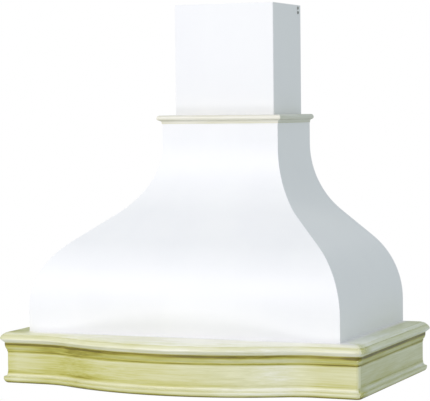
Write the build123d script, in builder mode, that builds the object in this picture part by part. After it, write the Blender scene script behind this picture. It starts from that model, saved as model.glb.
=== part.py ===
from build123d import *
import os
from math import asin, atan2, cos, degrees, radians, sin, sqrt, tan

# A wall range hood, 900 mm wide: a white sheet-steel bell and chimney standing on a cream wooden
# cornice frame with a serpentine bowed front. Millimetres. The origin is on the wall, centred, at the
# frame's bottom edge. +X runs along the wall, -Y points into the kitchen and +Z is up.

os.makedirs("parts", exist_ok=True)

# ---------------------------------------------------------------- driving dimensions
# Plan of the wooden frame
overall_width = 900.0  # across the tips of the thumb moulding
frieze_depth = 494.0  # wall to the flat front lands of the frieze
bow_projection = 79.0  # bow standing in front of the lands
land_length = 97.0  # flat land beside each corner
scoop_radius = 167.0
corner_radius = 6.0

# Sections of the wooden frame
frame_height = 119.0
frieze_board = 20.0
shelf_thickness = 15.0
shelf_bearing = 24.0  # shelf width under the foot of the bell
shelf_edge_width = 5.5  # bevel that starts the fall of the thumb
shelf_edge_drop = 1.0
thumb_projection = 18.0
thumb_drop = 15.0  # shelf top to the tip of the thumb
thumb_start_angle = 10.8  # fall of the thumb where it leaves the shelf
quirk_reach = 11.0  # sunk line along the thumb
quirk_width = 1.4
quirk_depth = 1.0
nose_radius = 3.2
undercut_angle = 52.0  # lean from the vertical
undercut_height = 9.5  # tip of the thumb to the fillet
fillet_reach = 7.0
fillet_height = 4.5
cove_height = 13.0
lip_reach = 1.5
lip_height = 4.0
bead_reach = 10.5
bead_foot = 3.0
bead_centre_height = 10.0
bead_radius = 12.3
bead_band = 3.0
bead_step = 1.2
base_cove = 8.5
base_lip = 2.2
glue_line = 0.1
corner_block_leg = 45.0
corner_block_drop = 40.0

# Sheet-steel bell
sheet = 1.2
skirt_side_setback = 49.0  # face of the side board to the foot of the bell
skirt_front_setback = 22.0  # front lands to the foot of the bell
skirt_height = 55.0
neck_side_ledge = 21.5  # chimney to the outside of the neck
neck_front_ledge = 33.5
neck_straight = 40.2
shoulder_radius = 190.0
throat_radius = 205.0
bell_angle = 52.4
foot_flange = 18.0

# Wooden collar
collar_height = 20.0
collar_overhang = 10.5
collar_nose = 7.0
collar_cove = 6.0
collar_lip = 1.0
collar_lip_height = 2.0

# Chimney
chimney_half_width = 126.5
chimney_depth = 190.0
chimney_above_shelf = 766.0
chimney_engagement = 150.0  # length below the collar's top
chimney_sheet = 1.0
chimney_bend = 2.0
chimney_return = 15.0
chimney_wall_gap = 1.5
guide_gap = 0.5
guide_height = 22.0
chimney_screw_drops = (7.0, 18.0)
chimney_screw_inset = 20.0
chimney_screw_length = 5.0
screw_radius = 2.0
screw_head_radius = 4.0
screw_head_height = 2.4
screw_gap = 0.2
bracket_height = 30.0
bracket_tab = 34.0
bracket_notch = 42.0
bracket_hole_radius = 3.0
bracket_hole_spacing = 160.0

# Wall fixing
wall_hole_radius = 4.0
wall_hole_spacing_x = 520.0
wall_hole_spacing_z = 140.0
wall_hole_low = 160.0

# Filter pan
pan_recess = 30.0
pan_upstand = 26.0
pan_gap = 0.3

# Grease filters
filter_width = 316.0
filter_thickness = 9.0
filter_corner = 4.0
filter_gap = 2.0
filter_web = 20.0
filter_rear = 60.0  # wall to the filter openings
lamp_strip = 120.0  # filter openings to the front lands
filter_rail = 18.0
filter_front_rail = 36.0
mesh_thickness = 5.0
mesh_tongue = 4.0
mesh_gap = 0.2
hinge_pin_radius = 2.5
hinge_pin_inset = 6.0
hinge_gap = 0.3
ear_thickness = 3.0
ear_half = 6.5

# Filter latches
latch_width = 42.0
latch_depth = 15.0
latch_thickness = 3.0
latch_height = 1.0  # under side of the filter to under side of the latch
latch_wall = 4.0
latch_travel = 5.0
latch_gap = 0.4
tongue_width = 18.0
tongue_thickness = 2.0
finger_width = 20.0
finger_depth = 7.0
finger_height = 3.0
finger_corner = 2.0
finger_chamfer = 1.0

# Lamps
lamp_x = 235.0
lamp_inset = 68.0  # front lands to a lamp's centre
lamp_hole_radius = 29.0
bezel_overlap = 5.0
bezel_thickness = 2.5
bezel_lip = 1.5
bezel_wall = 1.6
bezel_sleeve = 8.0
glass_overlap = 4.0
glass_thickness = 3.0
lamp_gap = 0.3
holder_height = 24.0
holder_boss_radius = 12.0

# Controls
control_inset = 18.0  # front lands to the middle of the strip
control_end = 20.0  # beyond the last button
control_side = 9.0  # beside the buttons
control_thickness = 2.0
control_corner = 5.0
control_chamfer = 0.8
control_margin = 13.0
control_ledge = 4.0
button_pitch = 28.0
button_length = 20.0
button_width = 12.0
button_corner = 2.0
button_chamfer = 0.8
button_travel = 3.0
button_proud = 3.5
button_gap = 0.4
button_stem = 5.0
button_collar = 1.5
button_shoulder = 1.5
switch_block_height = 20.0
switch_block_foot = 8.0

# Blower
fan_z = 250.0
scroll_gap = 20.0  # wheel to the start of the scroll
scroll_wall_gap = 20.0  # wall to the scroll
outlet_margin = 7.0  # throat depth beyond the spigot
scroll_sheet = 1.5
housing_width = 190.0
cutoff_radius = 8.0
throat_height = 125.0
inlet_radius = 72.0
inlet_lip = 8.0
wheel_radius = 85.0
wheel_side_gap = 15.0
blade_depth = 14.0
wheel_disc = 2.0
blade_count = 32
blade_thickness = 1.2
blade_radius = 14.0
blade_lead = 8.0
ring_thickness = 2.0
ring_rim = 1.2
hub_radius = 14.0
hub_length = 24.0
shaft_radius = 4.0
shaft_gap = 0.4
shaft_reach = 20.0
shaft_stub = 4.0
motor_radius = 48.0
motor_bell_radius = 40.0
motor_bell = 8.0
motor_start = 12.0
motor_length = 62.0
motor_slots = 6
motor_slot_depth = 3.0
motor_boss_radius = 20.0
spider_arms = 3
spider_arm_width = 14.0
spider_overlap = 8.0
bracket_foot = 22.0
blower_bracket_height = 70.0
blower_bracket_top = 335.0

# Outlet
spigot_radius = 75.0
spigot_length = 80.0
spigot_wall = 1.5
spigot_flange = 1.5
flap_height = 6.0
flap_thickness = 1.2
flap_gap = 0.8
flap_clear = 4.0
flap_pin_radius = 1.5
flap_pin_gap = 0.2
knuckle_radius = 3.2
knuckle_gap = 0.3
knuckle_length = 18.0
knuckle_places = {"front": 20.0, "rear": 45.0}

# Electrics
terminal_box_x = 165.0
terminal_box_z = 190.0
terminal_box_width = 96.0
terminal_box_height = 66.0
terminal_box_depth = 38.0
terminal_box_corner = 4.0
terminal_box_edge = 2.0
gland_radius = 9.0
gland_height = 10.0
gland_bore = 4.0

# ---------------------------------------------------------------- what follows from them
frieze_half_width = overall_width / 2 - thumb_projection
land_end = frieze_half_width - land_length
bow_radius = (land_end**2 + bow_projection**2) / (2 * bow_projection) - scoop_radius
bow_half_angle = asin(land_end / (bow_radius + scoop_radius))
scoop_centre_y = -(frieze_depth + scoop_radius)
corner_x = frieze_half_width - corner_radius
corner_y = -(frieze_depth - corner_radius)
mitre_apex_y = frieze_half_width - frieze_depth
inner_half_width = frieze_half_width - frieze_board
shelf_top = frame_height
shelf_bottom = shelf_top - shelf_thickness
skirt_half_width = frieze_half_width - skirt_side_setback
skirt_depth = frieze_depth - skirt_front_setback
neck_half_width = chimney_half_width + neck_side_ledge
neck_depth = chimney_depth + neck_front_ledge
bell_turn = radians(bell_angle)
bell_radii = shoulder_radius + throat_radius
front_slope = (skirt_depth - neck_depth - bell_radii * (1 - cos(bell_turn))) / sin(bell_turn)
bell_rise = bell_radii * sin(bell_turn) + front_slope * cos(bell_turn)
collar_bottom = shelf_top + skirt_height + bell_rise + neck_straight
collar_top = collar_bottom + collar_height
neck_mitre_y = neck_half_width - neck_depth
guide_half_width = chimney_half_width + guide_gap
guide_depth = chimney_depth + guide_gap
chimney_top = shelf_top + chimney_above_shelf
chimney_bottom = collar_top - chimney_engagement
pan_top = pan_recess + sheet
pan_inset = frieze_board + pan_gap
filter_x = filter_width / 2 + filter_gap + filter_web / 2
filter_rear_y = -(filter_rear + filter_gap)
filter_front_y = lamp_strip + filter_gap - frieze_depth
filter_length = filter_rear_y - filter_front_y
filter_y = (filter_rear_y + filter_front_y) / 2
hinge_y = filter_rear_y - hinge_pin_inset
hinge_z = pan_recess + filter_thickness / 2
lamp_y = frieze_depth - lamp_inset
control_y = frieze_depth - control_inset
bezel_radius = lamp_hole_radius + bezel_overlap
housing_half = housing_width / 2
wheel_width = housing_width - 2 * wheel_side_gap
throat_top = fan_z + throat_height
scroll_start_radius = wheel_radius + scroll_gap
throat_depth = 2 * spigot_radius + outlet_margin
scroll_step = (throat_depth + cutoff_radius - scroll_start_radius) / 3
fan_y = scroll_wall_gap + scroll_start_radius + 2.5 * scroll_step
outlet_rear_y = -scroll_wall_gap
outlet_front_y = -scroll_wall_gap - throat_depth
outlet_y = (outlet_rear_y + outlet_front_y) / 2
flap_z = throat_top + spigot_flange + flap_height
far = 2 * overall_width

button_names = ("light_button", "stop_button", "low_button", "medium_button", "high_button")
button_row = button_pitch * (len(button_names) - 1) + button_length
control_length = button_row + 2 * control_end
control_width = button_width + 2 * control_side

sides = {"left": -1, "right": 1}
ends = {"front": -1, "rear": 1}
front_plane = Plane(origin=(0, 0, 0), x_dir=(0, -1, 0), z_dir=(-1, 0, 0))
side_planes = {
    "left": Plane(origin=(0, 0, 0), x_dir=(-1, 0, 0), z_dir=(0, 1, 0)),
    "right": Plane(origin=(0, 0, 0), x_dir=(1, 0, 0), z_dir=(0, -1, 0)),
}
fan_plane = Plane(origin=(0, -fan_y, fan_z), x_dir=(0, 1, 0), z_dir=(1, 0, 0))


def finish(piece, label):
    """Name a finished piece and write it."""
    piece.part.label = label
    export_step(piece.part, f"parts/{label}.step")


# ---------------------------------------------------------------- plan of the frame
def scoop_point(side, outward, angle):
    """A point on a scoop, turned by an angle from its land towards the bow."""
    radius = scoop_radius - outward
    return (side * (land_end - radius * sin(angle)), scoop_centre_y + radius * cos(angle))


def serpentine(outward):
    """The front line between the lands: scoop, bow, scoop."""
    bow_y = -(frieze_depth + bow_projection + outward)
    right = [scoop_point(1, outward, bow_half_angle * share) for share in (0, 0.5, 1)]
    left = [scoop_point(-1, outward, bow_half_angle * share) for share in (1, 0.5, 0)]
    ThreePointArc(*right)
    ThreePointArc(right[-1], (0, bow_y), left[0])
    ThreePointArc(*left)


def corner_point(side, turn):
    """A point on the frieze's rounded front corner, 0 degrees at the land and 90 at the side."""
    angle = radians(turn)
    x = corner_x + corner_radius * sin(angle)
    return (side * x, corner_y - corner_radius * cos(angle))


def plan_area(outward):
    """The frame's plan from the wall to its front line, grown outward by a distance."""
    half = frieze_half_width + outward
    land_y = -(frieze_depth + outward)
    with BuildSketch() as area:
        with BuildLine():
            serpentine(outward)
            Polyline((land_end, land_y), (half, land_y), (half, 0), (-half, 0))
            Polyline((-half, 0), (-half, land_y), (-land_end, land_y))
        make_face()
        if corner_radius + outward > 0:
            corners = area.vertices().filter_by(lambda v: abs(v.X) > corner_x and v.Y < corner_y)
            fillet(corners, corner_radius + outward)
    return area.sketch


def mitre_area(run):
    """The plan that belongs to one run of the frame, between its 45 degree mitres."""
    if run == "front":
        outline = [(0, mitre_apex_y), (far, mitre_apex_y - far), (-far, mitre_apex_y - far)]
    else:
        x = far * sides[run]
        outline = [(0, far), (0, mitre_apex_y), (x, mitre_apex_y - far), (x, far)]
    with BuildSketch() as area:
        with BuildLine():
            Polyline(*outline, close=True)
        make_face()
    return area.sketch


# ---------------------------------------------------------------- boards of the frame
def frieze_run(run):
    """A board of the frieze, mitred at its ends."""
    with BuildPart() as board:
        with BuildSketch():
            add(plan_area(0))
            add(plan_area(-frieze_board), mode=Mode.SUBTRACT)
            add(mitre_area(run), mode=Mode.INTERSECT)
        extrude(amount=shelf_bottom)
    return board


def shelf_run(run):
    """A shelf board, its top edge bevelled into the fall of the thumb moulding."""
    bevel_foot = shelf_top - shelf_edge_drop
    bell_half = skirt_half_width - shelf_bearing
    bell_depth = skirt_depth - shelf_bearing
    with BuildPart() as board:
        with BuildSketch(Plane.XY.offset(shelf_bottom)):
            add(plan_area(0))
        extrude(amount=bevel_foot - shelf_bottom)
        with BuildSketch(Plane.XY.offset(bevel_foot)):
            add(plan_area(0))
        extrude(amount=shelf_edge_drop, taper=degrees(atan2(shelf_edge_width, shelf_edge_drop)))
        with BuildSketch(Plane.XY.offset(shelf_bottom)):
            add(mitre_area(run))
            with Locations((0, -bell_depth)):
                Rectangle(2 * bell_half, far, align=(Align.CENTER, Align.MIN), mode=Mode.SUBTRACT)
            Rectangle(far, 2 * sheet, mode=Mode.SUBTRACT)
        extrude(amount=shelf_thickness, mode=Mode.INTERSECT)
    return board


for run in ("front", "left", "right"):
    finish(frieze_run(run), f"frieze_{run}")
    finish(shelf_run(run), f"shelf_{run}")

with BuildPart() as corner_blocks:
    with BuildSketch(Plane.XY.offset(shelf_bottom - corner_block_drop)):
        for side in (-1, 1):
            corner = Vector(side * inner_half_width, -(frieze_depth - frieze_board))
            with BuildLine():
                Polyline(
                    corner,
                    corner + Vector(-side * corner_block_leg, 0),
                    corner + Vector(0, corner_block_leg),
                    close=True,
                )
            make_face()
    extrude(amount=corner_block_drop)
finish(corner_blocks, "corner_blocks")


# ---------------------------------------------------------------- mouldings of the frame
def front_run():
    """The path of a front moulding, from mitre to mitre."""
    ThreePointArc(corner_point(1, 45), corner_point(1, 22.5), corner_point(1, 0))
    Line(corner_point(1, 0), (land_end, -frieze_depth))
    serpentine(0)
    Line((-land_end, -frieze_depth), corner_point(-1, 0))
    ThreePointArc(corner_point(-1, 0), corner_point(-1, 22.5), corner_point(-1, 45))


def side_run(side):
    """The path of a side moulding, from its mitre to the wall."""
    ThreePointArc(corner_point(side, 45), corner_point(side, 67.5), corner_point(side, 90))
    Line(corner_point(side, 90), (side * frieze_half_width, 0))


def run_start(side):
    """The plane square to the frame at a mitre, its x axis pointing outward."""
    return Plane(origin=corner_point(side, 45), x_dir=(side, -1, 0), z_dir=(-1, -side, 0))


def cornice_section():
    """Thumb with its quirk, undercut, fillet, cove and lip, from the back of the moulding outward."""
    edge = Vector(0, shelf_top - shelf_edge_drop)
    nose = Vector(thumb_projection - nose_radius, shelf_top - thumb_drop)
    start_turn = radians(thumb_start_angle)
    rise = Vector(sin(start_turn), cos(start_turn))
    run_out = nose - edge
    thumb_radius = (nose_radius**2 - run_out.length**2) / (2 * (run_out.dot(rise) + nose_radius))
    centre = edge - rise * thumb_radius
    nose_turn = atan2(nose.Y - centre.Y, nose.X - centre.X)
    under_turn = radians(undercut_angle)
    nose_start = nose + Vector(cos(nose_turn), sin(nose_turn)) * nose_radius
    nose_end = nose + Vector(cos(under_turn), -sin(under_turn)) * nose_radius
    under_z = nose.Y - undercut_height
    under_end = (nose_end.X - (nose_end.Y - under_z) * tan(under_turn), under_z)
    fillet_z = under_z - fillet_height
    cove_width = fillet_reach - lip_reach
    cove_radius = (cove_width**2 + cove_height**2) / (2 * cove_width)
    cove_foot = (lip_reach, fillet_z - cove_height)
    foot_z = cove_foot[1] - lip_height

    def on_thumb(reach):
        return Vector(reach, centre.Y + sqrt(thumb_radius**2 - (reach - centre.X) ** 2))

    back = on_thumb(glue_line)
    quirk_start = on_thumb(quirk_reach - quirk_width / 2)
    quirk_end = on_thumb(quirk_reach + quirk_width / 2)
    quirk_turn = atan2(centre.Y - on_thumb(quirk_reach).Y, centre.X - quirk_reach)
    quirk_foot = on_thumb(quirk_reach) + Vector(cos(quirk_turn), sin(quirk_turn)) * quirk_depth
    ThreePointArc(back, on_thumb((glue_line + quirk_start.X) / 2), quirk_start)
    Polyline(quirk_start, quirk_foot, quirk_end)
    ThreePointArc(quirk_end, on_thumb((quirk_end.X + nose_start.X) / 2), nose_start)
    CenterArc(nose, nose_radius, degrees(nose_turn), -degrees(nose_turn) - undercut_angle)
    Polyline(nose_end, under_end, (fillet_reach, under_z), (fillet_reach, fillet_z))
    RadiusArc((fillet_reach, fillet_z), cove_foot, cove_radius)
    Polyline(cove_foot, (lip_reach, foot_z), (glue_line, foot_z), back)


def base_section():
    """Base bead and the small cove that dies into the frieze above it."""
    band_top = bead_centre_height + bead_band
    cove_edge = bead_reach - bead_step
    cove_start = cove_edge - base_cove
    RadiusArc((bead_foot, 0), (bead_reach, bead_centre_height), -bead_radius)
    Polyline((bead_reach, bead_centre_height), (bead_reach, band_top), (cove_edge, band_top + bead_step))
    CenterArc((cove_edge, band_top + bead_step + base_cove), base_cove, 180, 90)
    cove_top = (cove_start, band_top + bead_step + base_cove)
    lip_top = cove_top[1] + base_lip
    Polyline(cove_top, (cove_start, lip_top), (glue_line, lip_top), (glue_line, 0), (bead_foot, 0))


def moulding(run, section):
    """A section swept along one run of the frame."""
    side = sides.get(run, 1)
    with BuildPart() as piece:
        with BuildLine() as path:
            if run == "front":
                front_run()
            else:
                side_run(side)
        with BuildSketch(run_start(side)) as profile:
            with BuildLine():
                section()
            make_face()
        sweep(sections=profile.sketch, path=path.line)
    return piece


for run in ("front", "left", "right"):
    finish(moulding(run, cornice_section), f"cornice_{run}")
    finish(moulding(run, base_section), f"base_moulding_{run}")


# ---------------------------------------------------------------- sheet-steel bell
def bell_line(foot_reach, neck_reach, inset):
    """One side of the bell from its foot to the neck's top, set in from the outer face."""
    outward = Vector(cos(bell_turn), sin(bell_turn))
    uphill = Vector(-sin(bell_turn), cos(bell_turn))
    slope = (foot_reach - neck_reach - bell_radii * (1 - cos(bell_turn))) / sin(bell_turn)
    shoulder = Vector(foot_reach - shoulder_radius, shelf_top + skirt_height)
    throat = shoulder + outward * bell_radii + uphill * slope
    slope_start = shoulder + outward * (shoulder_radius - inset)
    Line((foot_reach - inset, shelf_top), (foot_reach - inset, shoulder.Y))
    CenterArc(shoulder, shoulder_radius - inset, 0, bell_angle)
    Line(slope_start, slope_start + uphill * slope)
    CenterArc(throat, throat_radius + inset, 180 + bell_angle, -bell_angle)
    Line((neck_reach - inset, throat.Y), (neck_reach - inset, collar_bottom))


def bell_area(foot_reach, neck_reach, inset):
    """The bell's upright section from its centre or the wall out to one face."""
    with BuildSketch() as area:
        with BuildLine():
            bell_line(foot_reach, neck_reach, inset)
            Polyline(
                (neck_reach - inset, collar_bottom),
                (0, collar_bottom),
                (0, shelf_top),
                (foot_reach - inset, shelf_top),
            )
        make_face()
    return area.sketch


def bell_silhouette(inset):
    """The bell seen from the front."""
    half = bell_area(skirt_half_width, neck_half_width, inset)
    with BuildSketch() as outline:
        add(half)
        mirror(half, about=Plane.YZ)
    return outline.sketch


front_outside = bell_area(skirt_depth, neck_depth, 0)
front_inside = bell_area(skirt_depth, neck_depth, sheet)
side_outside = bell_area(skirt_half_width, neck_half_width, 0)
side_inside = bell_area(skirt_half_width, neck_half_width, sheet)
silhouette = bell_silhouette(0)
inner_silhouette = bell_silhouette(sheet)

with BuildPart() as canopy_front:
    with BuildSketch(front_plane):
        add(front_outside)
        add(front_inside, mode=Mode.SUBTRACT)
    extrude(amount=skirt_half_width, both=True)
    with BuildSketch(Plane.XZ):
        add(silhouette)
    extrude(amount=far, mode=Mode.INTERSECT)
    with BuildSketch(Plane.XY.offset(shelf_top)):
        with Locations((0, -skirt_depth)):
            Rectangle(2 * (skirt_half_width - sheet), foot_flange, align=(Align.CENTER, Align.MIN))
    extrude(amount=sheet)
finish(canopy_front, "canopy_front")

for name, side in sides.items():
    with BuildPart() as canopy_side:
        with BuildSketch(side_planes[name]):
            add(side_outside)
            add(side_inside, mode=Mode.SUBTRACT)
        extrude(amount=skirt_depth, both=True)
        with BuildSketch(front_plane):
            add(front_inside)
        extrude(amount=far, both=True, mode=Mode.INTERSECT)
        with BuildSketch(Plane.XY.offset(shelf_top)):
            with Locations((side * (skirt_half_width - foot_flange / 2), -sheet)):
                flange_length = skirt_depth - foot_flange - sheet
                Rectangle(foot_flange, flange_length, align=(Align.CENTER, Align.MAX))
        extrude(amount=sheet)
    finish(canopy_side, f"canopy_{name}")

with BuildPart() as back_panel:
    with BuildSketch(Plane.XZ):
        add(inner_silhouette)
        Rectangle(2 * inner_half_width, shelf_top, align=(Align.CENTER, Align.MIN))
        with Locations((0, wall_hole_low + wall_hole_spacing_z / 2)):
            with GridLocations(wall_hole_spacing_x, wall_hole_spacing_z, 2, 2):
                Circle(wall_hole_radius, mode=Mode.SUBTRACT)
    extrude(amount=sheet)
finish(back_panel, "back_panel")


def guide_area(grow):
    """The chimney's guide hole in the neck plate, open towards the wall."""
    with BuildSketch() as area:
        with Locations((0, -guide_depth - grow)):
            Rectangle(2 * (guide_half_width + grow), far, align=(Align.CENTER, Align.MIN))
    return area.sketch


guide_hole = guide_area(0)
guide_outer = guide_area(sheet)
with BuildPart() as neck_plate:
    with BuildSketch(Plane.XY.offset(collar_bottom)):
        with Locations((0, -sheet)):
            neck_inside = neck_depth - 2 * sheet
            Rectangle(2 * (neck_half_width - sheet), neck_inside, align=(Align.CENTER, Align.MAX))
        add(guide_hole, mode=Mode.SUBTRACT)
    extrude(amount=-sheet)
    with BuildSketch(Plane.XY.offset(collar_bottom)):
        add(guide_outer)
        add(guide_hole, mode=Mode.SUBTRACT)
        with Locations((0, -sheet)):
            Rectangle(far, far, align=(Align.CENTER, Align.MIN), mode=Mode.SUBTRACT)
    extrude(amount=-guide_height)
finish(neck_plate, "neck_plate")


# ---------------------------------------------------------------- wooden collar
def collar_section(inner_reach, neck_reach):
    """The collar's section: lip, cove and a round nose, back to the chimney."""
    nose_z = collar_bottom + collar_height - collar_nose
    nose_x = neck_reach + collar_overhang - collar_nose
    cove_x = neck_reach + collar_lip + collar_cove
    cove_z = collar_bottom + collar_lip_height
    under_radius = nose_z - cove_z - collar_cove
    under_x = neck_reach + collar_overhang - under_radius
    Line((nose_x, collar_top), (inner_reach, collar_top))
    Line((inner_reach, collar_top), (inner_reach, collar_bottom))
    Line((inner_reach, collar_bottom), (neck_reach + collar_lip, collar_bottom))
    Line((neck_reach + collar_lip, collar_bottom), (neck_reach + collar_lip, cove_z))
    CenterArc((cove_x, cove_z), collar_cove, 90, 90)
    Line((cove_x, cove_z + collar_cove), (under_x, cove_z + collar_cove))
    CenterArc((under_x, nose_z), under_radius, -90, 90)
    CenterArc((nose_x, nose_z), collar_nose, 0, 90)


with BuildPart() as collar_front:
    with BuildSketch(front_plane):
        with BuildLine():
            collar_section(guide_depth, neck_depth)
        make_face()
    extrude(amount=neck_half_width + collar_overhang, both=True)
    with BuildSketch(Plane.XY.offset(collar_bottom)):
        with BuildLine():
            Polyline(
                (guide_half_width, -guide_depth),
                (guide_half_width, neck_mitre_y - guide_half_width),
                (far, neck_mitre_y - far),
                (-far, neck_mitre_y - far),
                (-guide_half_width, neck_mitre_y - guide_half_width),
                (-guide_half_width, -guide_depth),
                close=True,
            )
        make_face()
    extrude(amount=collar_height, mode=Mode.INTERSECT)
finish(collar_front, "collar_front")

for name, side in sides.items():
    with BuildPart() as collar_side:
        with BuildSketch(side_planes[name]):
            with BuildLine():
                collar_section(guide_half_width, neck_half_width)
            make_face()
        extrude(amount=neck_depth + collar_overhang, both=True)
        with BuildSketch(Plane.XY.offset(collar_bottom)):
            with BuildLine():
                Polyline(
                    (side * guide_half_width, 0),
                    (side * guide_half_width, neck_mitre_y - guide_half_width),
                    (side * far, neck_mitre_y - far),
                    (side * far, 0),
                    close=True,
                )
            make_face()
        extrude(amount=collar_height, mode=Mode.INTERSECT)
    finish(collar_side, f"collar_{name}")


# ---------------------------------------------------------------- chimney and its wall bracket
def chimney_screw_plane(side):
    """The outer face of one chimney side, its x axis pointing away from the wall."""
    origin = (side * chimney_half_width, 0, chimney_top)
    return Plane(origin=origin, x_dir=(0, -1, 0), z_dir=(side, 0, 0))


def chimney_screw_points(side):
    """Where the screws sit on one side, in the axes of that side's plane."""
    return [(chimney_screw_inset, side * drop) for drop in chimney_screw_drops]


chimney_inner_half = chimney_half_width - chimney_sheet
chimney_back_cut = 4 * (chimney_wall_gap + chimney_sheet)
with BuildPart() as chimney:
    with BuildSketch(Plane.XY.offset(chimney_bottom)) as section:
        with Locations((0, -chimney_wall_gap)):
            depth = chimney_depth - chimney_wall_gap
            Rectangle(2 * chimney_half_width, depth, align=(Align.CENTER, Align.MAX))
        fillet(section.vertices().group_by(Axis.Y)[0], chimney_bend)
        with Locations((0, -chimney_wall_gap - chimney_sheet)):
            depth = chimney_depth - chimney_wall_gap - 2 * chimney_sheet
            inner = (2 * chimney_inner_half, depth)
            Rectangle(*inner, align=(Align.CENTER, Align.MAX), mode=Mode.SUBTRACT)
        Rectangle(2 * (chimney_half_width - chimney_return), chimney_back_cut, mode=Mode.SUBTRACT)
    extrude(amount=chimney_top - chimney_bottom)
    with BuildSketch(Plane.XY.offset(chimney_top)):
        Rectangle(2 * chimney_inner_half, chimney_back_cut)
    extrude(amount=-bracket_notch, mode=Mode.SUBTRACT)
    for side in (-1, 1):
        with BuildSketch(chimney_screw_plane(side)):
            with Locations(*chimney_screw_points(side)):
                Circle(screw_radius + screw_gap)
        extrude(amount=-2 * chimney_sheet, mode=Mode.SUBTRACT)
finish(chimney, "chimney")

with BuildPart() as chimney_bracket:
    with BuildSketch(Plane.XZ):
        with Locations((0, chimney_top - sheet)):
            Rectangle(2 * chimney_inner_half, bracket_height, align=(Align.CENTER, Align.MAX))
        with Locations((0, chimney_top - sheet - bracket_height / 2)):
            with GridLocations(bracket_hole_spacing, 1, 2, 1):
                Circle(bracket_hole_radius, mode=Mode.SUBTRACT)
    extrude(amount=sheet)
    for side in (-1, 1):
        with BuildSketch(Plane.XY.offset(chimney_top - sheet)):
            with Locations((side * (chimney_inner_half - sheet / 2), 0)):
                Rectangle(sheet, bracket_tab, align=(Align.CENTER, Align.MAX))
        extrude(amount=-bracket_height)
        with BuildSketch(chimney_screw_plane(side)):
            with Locations(*chimney_screw_points(side)):
                Circle(screw_radius + screw_gap)
        extrude(amount=-3 * sheet, mode=Mode.SUBTRACT)
finish(chimney_bracket, "chimney_bracket")

with BuildPart() as chimney_screws:
    for side in (-1, 1):
        with BuildSketch(chimney_screw_plane(side)):
            with Locations(*chimney_screw_points(side)):
                Circle(screw_head_radius)
        extrude(amount=screw_head_height)
        with BuildSketch(chimney_screw_plane(side)):
            with Locations(*chimney_screw_points(side)):
                Circle(screw_radius)
        extrude(amount=-chimney_screw_length)
finish(chimney_screws, "chimney_screws")

# ---------------------------------------------------------------- filter pan
pan_outer = plan_area(-pan_inset)
pan_inner = plan_area(-pan_inset - sheet)
opening_width = filter_width + 2 * filter_gap
opening_length = filter_length + 2 * filter_gap
pan_rear = sheet + pan_gap
control_hole_length = control_length - 2 * control_margin
control_hole_width = control_width - 2 * control_ledge

with BuildPart() as filter_pan:
    with BuildSketch(Plane.XY.offset(pan_recess)):
        add(pan_outer)
        Rectangle(far, 2 * pan_rear, mode=Mode.SUBTRACT)
        with Locations((-filter_x, filter_y), (filter_x, filter_y)):
            Rectangle(opening_width, opening_length, mode=Mode.SUBTRACT)
        with Locations((-lamp_x, -lamp_y), (lamp_x, -lamp_y)):
            Circle(lamp_hole_radius, mode=Mode.SUBTRACT)
        with Locations((0, -control_y)):
            Rectangle(control_hole_length, control_hole_width, mode=Mode.SUBTRACT)
    extrude(amount=sheet)
    with BuildSketch(Plane.XY.offset(pan_recess)):
        add(pan_outer)
        add(pan_inner, mode=Mode.SUBTRACT)
        with Locations((0, -pan_rear)):
            Rectangle(2 * (inner_half_width - pan_gap), sheet, align=(Align.CENTER, Align.MAX))
        Rectangle(far, 2 * pan_rear, mode=Mode.SUBTRACT)
    extrude(amount=pan_upstand)
    for side in (-1, 1):
        for edge in (-1, 1):
            ear_x = side * filter_x + edge * (opening_width + ear_thickness) / 2
            with BuildSketch(Plane.YZ.offset(ear_x)):
                with Locations((hinge_y, pan_top)):
                    ear_height = hinge_z - pan_top
                    Rectangle(2 * ear_half, ear_height, align=(Align.CENTER, Align.MIN))
                with Locations((hinge_y, hinge_z)):
                    Circle(ear_half)
                    Circle(hinge_pin_radius + hinge_gap, mode=Mode.SUBTRACT)
                with Locations((hinge_y, pan_recess)):
                    drop = (Align.CENTER, Align.MAX)
                    Rectangle(4 * ear_half, 4 * ear_half, align=drop, mode=Mode.SUBTRACT)
            extrude(amount=ear_thickness / 2, both=True)
finish(filter_pan, "filter_pan")

# ---------------------------------------------------------------- grease filters
mesh_width = filter_width - 2 * filter_rail + 2 * mesh_tongue
mesh_rear_y = filter_rear_y - filter_rail + mesh_tongue
mesh_front_y = filter_front_y + filter_front_rail - mesh_tongue
mesh_length = mesh_rear_y - mesh_front_y
mesh_y = (mesh_rear_y + mesh_front_y) / 2
mesh_low = pan_recess + (filter_thickness - mesh_thickness) / 2
latch_low = pan_recess + latch_height
latch_front_y = filter_front_y + latch_wall + latch_gap
latch_room = latch_depth + latch_travel + 2 * latch_gap
tongue_low = latch_low + latch_thickness - tongue_thickness
finger_y = latch_front_y + latch_depth / 2


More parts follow.
